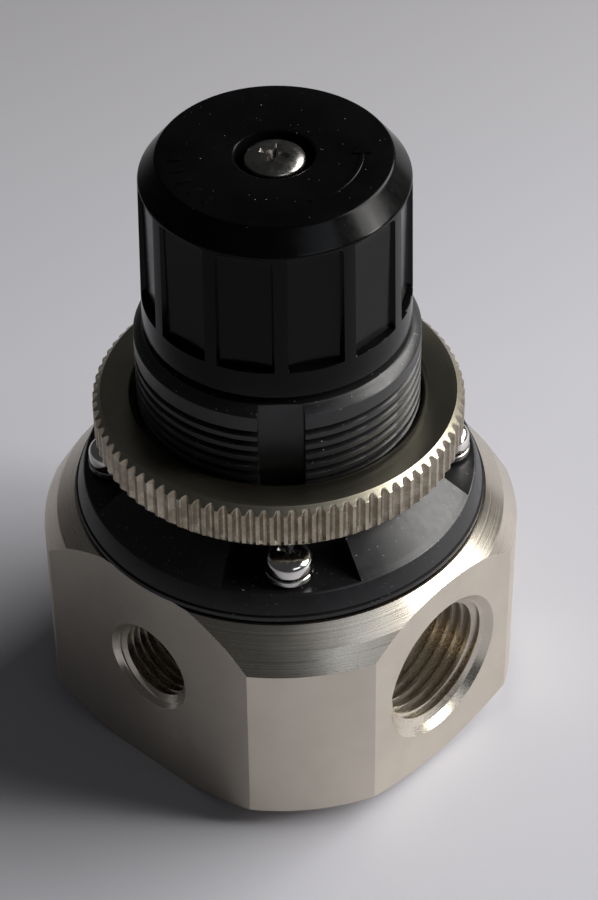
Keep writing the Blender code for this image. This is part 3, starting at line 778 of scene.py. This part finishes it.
KNOB_TOP_EDGE_R = 18.4
KNOB_CHAMFER_Z = 91.5
KNOB_FACE_R = 15.9
FLUTES = 12
FLUTE_FLOOR_R = 17.55
FLUTE_HALF_ANGLE = 11.7
FLUTE_LEDGE_Z = 72.6
FLUTE_TOP = 90.5
FIRST_RIB = -46.3
KNOB_CAVITY_R = 15.5
KNOB_CAVITY_TOP = 87.9
KNOB_HUB_R = 6.8
KNOB_HUB_Z = 73.4
KNOB_RECESS_R = 5.4
KNOB_RECESS_Z = 89.4
KNOB_SCREW_WAY_R = 4.05
DRIVE_SOCKET_HALF = 3.5


def soft_min(first, second, width):
    """The smaller of two values, with the corner between them rounded."""
    share = np.clip(0.5 + 0.5 * (second - first) / width, 0, 1)
    return second * (1 - share) + first * share - width * share * (1 - share)


def knob_radius(angles, z):
    """The tapered side and the top chamfer, with the flutes cut in."""
    taper = (z - KNOB_Z) / (KNOB_CHAMFER_Z - KNOB_Z)
    side = KNOB_R - (KNOB_R - KNOB_TOP_EDGE_R) * taper
    slope = (KNOB_TOP_EDGE_R - KNOB_FACE_R) / (KNOB_TOP - KNOB_CHAMFER_Z)
    chamfer = KNOB_TOP_EDGE_R - (z - KNOB_CHAMFER_Z) * slope
    outside = soft_min(side, chamfer, 0.12)
    off = np.abs(angle_from(angles * FLUTES, FIRST_RIB * FLUTES + 180)) / FLUTES
    floor = FLUTE_FLOOR_R / np.cos(np.radians(off))
    wall = np.clip(off - FLUTE_HALF_ANGLE, 0, None) * 2.2
    ledge = max(0.0, FLUTE_LEDGE_Z - z) * 6.0
    fade = max(0.0, z - FLUTE_TOP) * 1.1
    flute = floor + wall + ledge + fade
    return soft_min(np.broadcast_to(outside, angles.shape), flute, 0.16)


def make_knob(material):
    angles = uniform_angles(720)
    rows = [ring(angles, KNOB_CAVITY_R, KNOB_Z + 0.35), ring(angles, KNOB_CAVITY_R + 0.35, KNOB_Z)]
    for radius, height in ((KNOB_R - 0.5, 0.0), (KNOB_R - 0.2, 0.06), (KNOB_R - 0.05, 0.2)):
        rows.append(ring(angles, radius, KNOB_Z + height))
    levels = [KNOB_Z + 0.5, KNOB_Z + 2.0, 71.8]
    levels += list(np.arange(72.0, 73.2, 0.06))
    levels += list(np.arange(73.6, 90.2, 1.2))
    levels += list(np.arange(90.4, KNOB_TOP - 0.14, 0.12))
    for z in levels:
        rows.append(ring(angles, knob_radius(angles, z), z))
    edge = knob_radius(angles, KNOB_TOP - 0.14)
    rows.append(ring(angles, edge - 0.13, KNOB_TOP - 0.05))
    rows.append(ring(angles, edge - 0.30, KNOB_TOP))
    for out, drop in ((0.5, 0.0), (0.25, 0.04), (0.06, 0.16), (0.0, 0.4)):
        rows.append(ring(angles, KNOB_RECESS_R + out, KNOB_TOP - drop))
    rows.append(ring(angles, KNOB_RECESS_R, KNOB_RECESS_Z))
    rows.append(ring(angles, KNOB_SCREW_WAY_R, KNOB_RECESS_Z))
    off = (np.degrees(angles) % 60) - 30
    socket = DRIVE_SOCKET_HALF / np.cos(np.radians(off))
    rows.append(ring(angles, socket, KNOB_RECESS_Z))
    rows.append(ring(angles, socket, KNOB_HUB_Z))
    rows.append(ring(angles, KNOB_HUB_R, KNOB_HUB_Z))
    rows.append(ring(angles, KNOB_HUB_R, KNOB_CAVITY_TOP))
    rows.append(ring(angles, KNOB_CAVITY_R, KNOB_CAVITY_TOP))
    knob = loft("knob_moulding", rows, True, 38.0)
    return install(knob, "knob", "knob_plastic", material, "knob")


MARK_HEIGHT = 0.16
MARK_BASE = KNOB_TOP - 0.1
MARK_TOP = KNOB_TOP + MARK_HEIGHT


def raised_band(name, radius, width, start, end, steps=40):
    """A low curved bar on the knob's top face, with a rounded back."""
    half = width / 2
    side_top = MARK_TOP - MARK_HEIGHT * 0.5
    profile = [(-half, MARK_BASE), (-half, side_top), (-half * 0.6, MARK_TOP)]
    profile += [(half * 0.6, MARK_TOP), (half, side_top), (half, MARK_BASE)]
    reach = np.array([radius + across for across, _ in profile])
    height = np.array([z for _, z in profile])
    rows = []
    for angle in np.radians(np.linspace(start, end, steps)):
        rows.append(np.stack([reach * math.cos(angle), reach * math.sin(angle), height], -1) * MM)
    return swept(name, rows)


def make_knob_marks(material):
    """Plain direction marks: an arc with a point at its end, and a row of dashes."""
    bands = [raised_band("mark_arc", 11.6, 0.6, -24, 42)]
    for number in range(5):
        middle = 227 + 11 * number
        bands.append(raised_band("mark_dash", 13.3, 1.9, middle - 1.0, middle + 1.0, 6))
    tip = [(12.9, 41.0), (10.3, 41.0), (11.6, 51.0)]
    outline = [(r * math.cos(math.radians(a)), r * math.sin(math.radians(a))) for r, a in tip]
    bands.append(prism("mark_tip", outline, MARK_BASE, MARK_TOP))
    for number, band in enumerate(bands, 1):
        band.name = f"knob_mark_{number}"
        install(band, "knob", "knob_plastic", material)


# ---------------------------------------------------------------- screws and washers

def cross_outline(reach, width):
    half = width / 2
    arm = [(reach, -half), (reach, half), (half, half)]
    outline = []
    for quarter in range(4):
        turn = Matrix.Rotation(math.pi / 2 * quarter, 2)
        outline += [tuple(turn @ Vector(point)) for point in arm]
    return outline


def pan_head_screw(name, head_z, head_top, head_r, shank_r, tip_z, reach, width, depth):
    """A pan head with a tapered cross recess and a plain shank."""
    height = head_top - head_z
    section = [(0, head_top)]
    for step in range(9):
        angle = math.pi / 2 * step / 8
        radius = head_r * 0.42 + head_r * 0.58 * math.sin(angle)
        section.append((radius, head_z + height * (0.42 + 0.58 * math.cos(angle))))
    section += [(head_r, head_z + 0.12), (head_r - 0.12, head_z), (shank_r, head_z)]
    section += [(shank_r, tip_z + 0.5), (shank_r - 0.5, tip_z), (0, tip_z)]
    screw = turned(name, section, 96)
    recess = prism("recess", cross_outline(reach, width), head_top - depth, head_top + 0.5)
    for vert in recess.data.vertices:
        if vert.co.z < head_top * MM:
            vert.co.x *= 0.45
            vert.co.y *= 0.45
    boolean(screw, recess)
    bevel(screw, 0.06, 2, 30)
    shade(screw, 32.0)
    return screw


def make_screws(screw_finish, washer_finish):
    head_low = high("lock_washer_1").z + 0.3
    head_top = high("bonnet_screw_1").z
    for number, centre in enumerate(SCREW_CENTRES, 1):
        shift = Matrix.Translation((centre.x * MM, centre.y * MM, 0))
        turn = Matrix.Rotation(math.radians(SCREW_ANGLES[number - 1] + 70 * number), 4, "Z")
        screw = pan_head_screw(
            f"bonnet_screw_fine_{number}", head_low, head_top,
            head_r=3.35, shank_r=2.0, tip_z=29.0, reach=1.9, width=0.85, depth=1.5,
        )
        screw.data.transform(shift @ turn)
        install(screw, "housing", "bright_steel", screw_finish, f"bonnet_screw_{number}")
        washer = lock_washer(f"lock_washer_fine_{number}")
        washer.data.transform(shift @ turn)
        install(washer, "housing", "washer_steel", washer_finish, f"lock_washer_{number}")


def lock_washer(name):
    """A split ring that climbs a little from one end to the other."""
    z_low = low("lock_washer_1").z
    z_high = high("lock_washer_1").z
    rise = 0.25
    corner = 0.14
    inner = 2.3
    outer = 3.45
    top = z_high - rise
    section = [
        (inner, z_low + corner), (inner + corner, z_low), (outer - corner, z_low), (outer, z_low + corner),
        (outer, top - corner), (outer - corner, top), (inner + corner, top), (inner, top - corner),
    ]
    steps = 92
    rows = []
    for step in range(steps + 1):
        angle = math.radians(344) * step / steps
        lift = rise * step / steps
        x = math.cos(angle) * MM
        y = math.sin(angle) * MM
        rows.append([(r * x, r * y, (z + lift) * MM) for r, z in section])
    return swept(name, rows)


KNOB_SCREW_HEAD_Z = 93.0


def make_knob_screw(finish):
    screw = pan_head_screw(
        "knob_screw_fine", KNOB_SCREW_HEAD_Z, high("knob_screw").z,
        head_r=4.2, shank_r=1.7, tip_z=low("knob_screw").z, reach=2.4, width=1.05, depth=1.5,
    )
    screw.data.transform(Matrix.Rotation(math.radians(22), 4, "Z"))
    install(screw, "spindle", "bright_steel", finish, "knob_screw")


# ---------------------------------------------------------------- springs and plug

PLUG_Z = 1.2
PLUG_R = 10.7
PLUG_TOP = 11.4
PLUG_HEX_ACROSS_CORNERS = 16 / math.sqrt(3)


def coil(name, radius, wire_radius, turns, z_low, z_high):
    sides = 12
    steps = int(turns * 48)
    climb = z_high - z_low - 2 * wire_radius
    rows = []
    for step in range(steps + 1):
        angle = 2 * math.pi * turns * step / steps
        z = z_low + wire_radius + climb * step / steps
        out = Vector((math.cos(angle), math.sin(angle), 0))
        row = []
        for side in range(sides):
            tilt = 2 * math.pi * side / sides
            point = out * (radius + wire_radius * math.cos(tilt))
            row.append((point.x * MM, point.y * MM, (z + wire_radius * math.sin(tilt)) * MM))
        rows.append(row)
    return swept(name, rows)


def make_springs(material):
    z_low = low("range_spring").z
    z_high = high("range_spring").z
    spring = coil("range_spring_fine", 10.0, 0.8, 4.5, z_low, z_high)
    install(spring, "diaphragm_plates", "spring_steel", material, "range_spring")
    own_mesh(spring)
    z_low = low("valve_spring").z
    z_high = high("valve_spring").z
    spring = coil("valve_spring_fine", 5.2, 0.35, 4.0, z_low, z_high)
    install(spring, "housing", "spring_steel", material, "valve_spring")
    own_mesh(spring)


def make_bottom_plug(material):
    section = rounded([
        (0, PLUG_Z), (PLUG_R, PLUG_Z), (PLUG_R, 8.3), (8.8, 8.3), (8.8, 10.5), (PLUG_R, 10.5),
        (PLUG_R, PLUG_TOP), (4.0, PLUG_TOP), (4.0, 9.6), (2.3, 9.6), (2.3, 7.6), (0, 7.6),
    ], 0.35)
    plug = turned("bottom_plug_fine", section, 128)
    corner_r = PLUG_HEX_ACROSS_CORNERS / 2
    corners = [math.pi / 3 * number for number in range(6)]
    hexagon = [(corner_r * math.cos(angle), corner_r * math.sin(angle)) for angle in corners]
    boolean(plug, prism("socket", hexagon, -0.5, 4.8))
    bevel(plug, 0.15, 2, 40)
    shade(plug, 35.0)
    install(plug, "housing", "stainless", material, "bottom_plug")


# ---------------------------------------------------------------- stage

FLOOR_R = 1400.0


def make_stage():
    """A pale floor with painted shade: it darkens a little on the side away from the camera, standing in
    for light falling off.
    """
    angles = uniform_angles(96)
    floor = loft("floor", [ring(angles, FLOOR_R, 0.0), ring(angles, FLOOR_R, -2.0)], False)
    n = Nodes("pale_floor_painted_falloff")
    cloud = n.noise(n.place, 3.0, 3.0, 0.5)
    grain = n.noise(n.place, 900.0, 2.0, 0.5)
    pale = n.mix(n.fit(cloud, 0.3, 0.7), (0.60, 0.60, 0.655), (0.66, 0.66, 0.715))
    x, y, _ = n.split(n.place)
    away = n.math("ADD", n.math("MULTIPLY", x, -0.67), n.math("MULTIPLY", y, 0.74))
    # Painted shade: the floor's colour fades to a darker grey towards the far side.
    color = n.mix(n.fit(away, 0.07, 0.2), pale, (0.43, 0.425, 0.45))
    floor.data.materials.append(n.finish(color, 0.55, n.bump(grain, 0.02, 0.2)))


CAMERA_AZIMUTH = 42.0
CAMERA_ELEVATION = 41.52
CAMERA_ROLL = -0.66
CAMERA_REACH_M = 0.4585
CAMERA_AIM_RIGHT_M = 0.0028
CAMERA_AIM_UP_M = 0.0291
CAMERA_AIM_Z_M = 0.0034
LENS_MM = 120.0


def make_camera():
    data = bpy.data.cameras.new("camera")
    data.lens = LENS_MM
    data.sensor_width = 36.0
    data.clip_start = 0.01
    camera = bpy.data.objects.new("camera", data)
    bpy.context.scene.collection.objects.link(camera)
    elevation = math.radians(CAMERA_ELEVATION)
    turn = Matrix.Rotation(math.radians(CAMERA_AZIMUTH), 3, "Z")
    ahead = turn @ Vector((0, math.cos(elevation), -math.sin(elevation)))
    up = turn @ Vector((0, math.sin(elevation), math.cos(elevation)))
    right = turn @ Vector((1, 0, 0))
    aim = Vector((0, 0, CAMERA_AIM_Z_M)) + right * CAMERA_AIM_RIGHT_M + up * CAMERA_AIM_UP_M
    roll = Matrix.Rotation(math.radians(-CAMERA_ROLL), 3, ahead)
    right = roll @ right
    up = roll @ up
    facing = Matrix((right, up, -ahead)).transposed().to_4x4()
    camera.matrix_world = Matrix.Translation(aim - ahead * CAMERA_REACH_M) @ facing
    bpy.context.scene.camera = camera


LIGHT_AIM = Vector((0, 0, 0.04))


def soft_box(name, azimuth, elevation, distance, size, power, color, lights_matte=True):
    """An area light that looks at the object. One that lights nothing matte only shows in reflections."""
    data = bpy.data.lights.new(name, "AREA")
    data.shape = "RECTANGLE"
    data.size, data.size_y = size
    data.energy = power
    data.color = color
    light = bpy.data.objects.new(name, data)
    light.visible_diffuse = lights_matte
    bpy.context.scene.collection.objects.link(light)
    a = math.radians(azimuth)
    e = math.radians(elevation)
    away = Vector((math.cos(a) * math.cos(e), math.sin(a) * math.cos(e), math.sin(e))) * distance
    light.location = LIGHT_AIM + away
    light.rotation_euler = (-away).to_track_quat("-Z", "Y").to_euler()


def make_light():
    world = bpy.data.worlds.new("studio")
    world.use_nodes = True
    background = world.node_tree.nodes["Background"]
    background.inputs["Color"].default_value = (0.80, 0.81, 0.84, 1.0)
    background.inputs["Strength"].default_value = 0.055
    bpy.context.scene.world = world
    soft_box("window", 58, 33, 0.8, (0.9, 0.42), 9.9, (1.0, 0.985, 0.955))
    soft_box("accent", 34, 18, 0.7, (0.12, 0.12), 1.0, (1.0, 0.98, 0.95))
    soft_box("side_card", -12, 30, 1.0, (0.5, 0.2), 0.7, (0.85, 0.91, 1.0), lights_matte=False)
    view = bpy.context.scene.view_settings
    view.view_transform = "Standard"
    view.look = "None"


# ---------------------------------------------------------------- everything in place

def main():
    stainless = stainless_material()
    nut_steel = nut_material()
    bright = screw_material("bright_screw_steel", (0.78, 0.76, 0.73), 0.10, 0.22)
    washer_steel = screw_material("washer_steel", (0.62, 0.6, 0.57), 0.18, 0.32)
    spring_steel = screw_material("spring_steel", (0.45, 0.45, 0.46), 0.25, 0.4)
    knob_screw_steel = screw_material("knob_screw_steel", (0.34, 0.33, 0.31), 0.2, 0.36)
    knob_black = plastic_material(
        "knob_black", (0.002, 0.002, 0.002), (0.004, 0.004, 0.0042),
        rough_low=0.14, rough_high=0.24, shine=0.11, dust_amount=0.2,
    )
    bonnet_black = plastic_material(
        "bonnet_black", (0.009, 0.009, 0.010), (0.014, 0.014, 0.016),
        rough_low=0.30, rough_high=0.42, shine=0.45, dust_amount=0.26,
    )
    rubber = rubber_material()
    brass = turned_metal("valve_brass", (0.66, 0.46, 0.2), (0.76, 0.56, 0.28), 0.24, 0.38)
    plate = turned_metal("plate_aluminium", (0.7, 0.71, 0.73), (0.8, 0.81, 0.83), 0.28, 0.42)
    spindle = turned_metal("spindle_steel", (0.4, 0.4, 0.41), (0.5, 0.5, 0.51), 0.25, 0.4)
    make_body(stainless)
    make_bonnet(bonnet_black)
    make_panel_nut(nut_steel)
    make_knob(knob_black)
    make_knob_marks(knob_black)
    make_screws(bright, washer_steel)
    make_knob_screw(knob_screw_steel)
    make_springs(spring_steel)
    make_bottom_plug(stainless)
    carried = {
        "adjusting_screw": spindle,
        "thrust_washer": nylon_material(),
        "spring_button": brass,
        "upper_diaphragm_plate": plate,
        "relief_seat_plate": plate,
        "diaphragm": rubber,
        "valve_seat": brass,
        "valve_poppet": brass,
        "poppet_seal": rubber,
        "plug_o_ring": rubber,
        "stem_o_ring": rubber,
    }
    for node, material in carried.items():
        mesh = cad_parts[node].data
        mesh.materials.clear()
        mesh.materials.append(material)
    make_stage()
    make_camera()
    make_light()


main()
